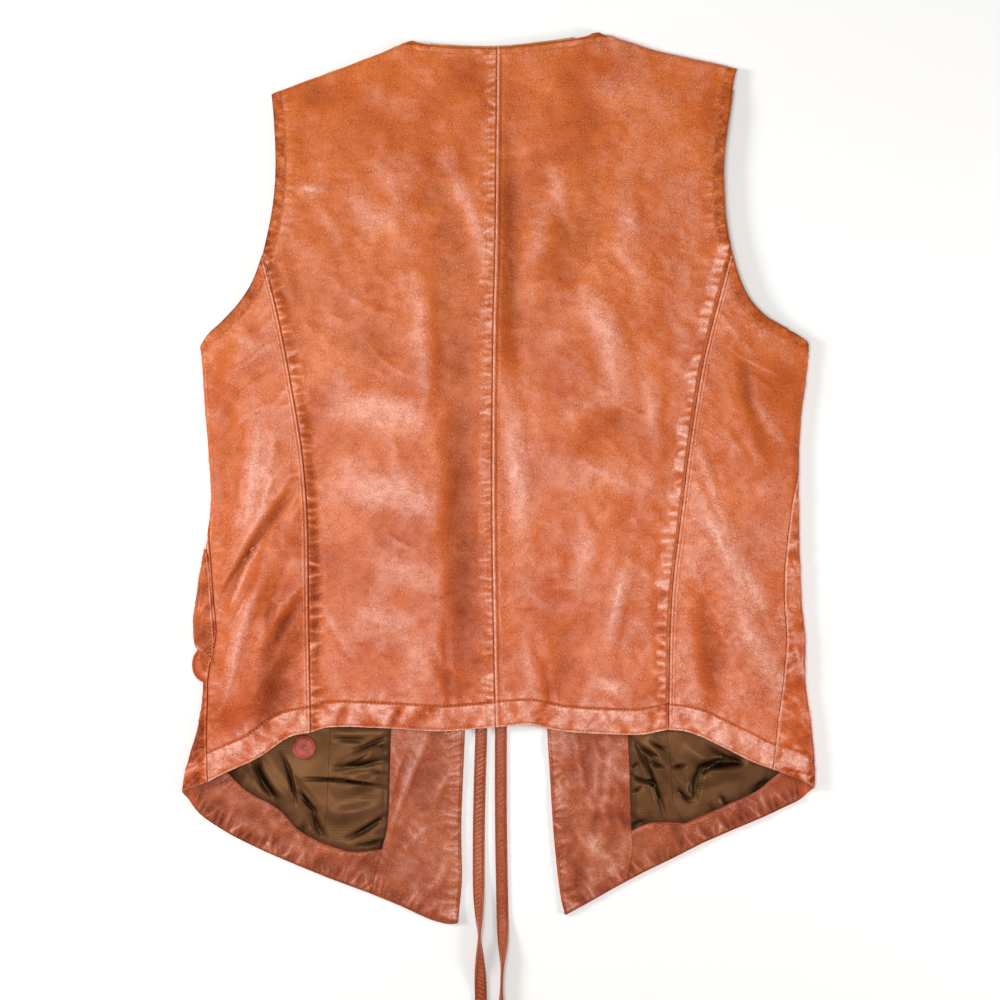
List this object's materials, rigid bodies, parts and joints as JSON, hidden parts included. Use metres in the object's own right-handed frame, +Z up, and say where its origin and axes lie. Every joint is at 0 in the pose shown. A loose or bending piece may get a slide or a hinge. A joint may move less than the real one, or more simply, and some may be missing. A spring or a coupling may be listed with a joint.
{
  "type": "leather vest",
  "caption": "Tan leather waistcoat lying flat with its back up, longer pointed fronts with satin lining showing below the back hem, and narrow leather ties.",
  "frame": {"origin": "on the surface the vest lies on, at the middle of the vest's outline without its ties", "axes": "+Y from the hem towards the neck, +Z up from the surface out of the vest's back, +X to the right of someone looking down at the back"},
  "size_m": [0.5057, 0.8049, 0.0141],
  "materials": {
    "tan_leather": "cognac tan nappa leather with a soft waxy sheen, mottled, redder towards the hem",
    "facing_leather": "the same leather as facing, slightly duller and puckered along its stitching",
    "lining_satin": "bronze brown satin lining with a strong sheen",
    "edge_facing": "pale raw edge of the facing leather",
    "button_resin": "glossy red-brown moulded resin"
  },
  "bodies": {
    "root": {"back_left": "tan_leather", "back_right": "tan_leather", "side_left": "tan_leather", "side_right": "tan_leather", "front_left": "tan_leather", "front_right": "tan_leather", "flap_left": "tan_leather", "pocket_left": "tan_leather", "tie_left": "tan_leather", "tie_right": "tan_leather", "facing_left": "facing_leather", "facing_right": "facing_leather", "hem_facing_left": "facing_leather", "hem_facing_right": "facing_leather", "lining_left_front": "lining_satin", "lining_left_side": "lining_satin", "lining_right_front": "lining_satin", "lining_right_side": "lining_satin", "neck_facing": "edge_facing", "armhole_facing_right": "edge_facing", "spare_button": "button_resin"}
  },
  "joints": []
}
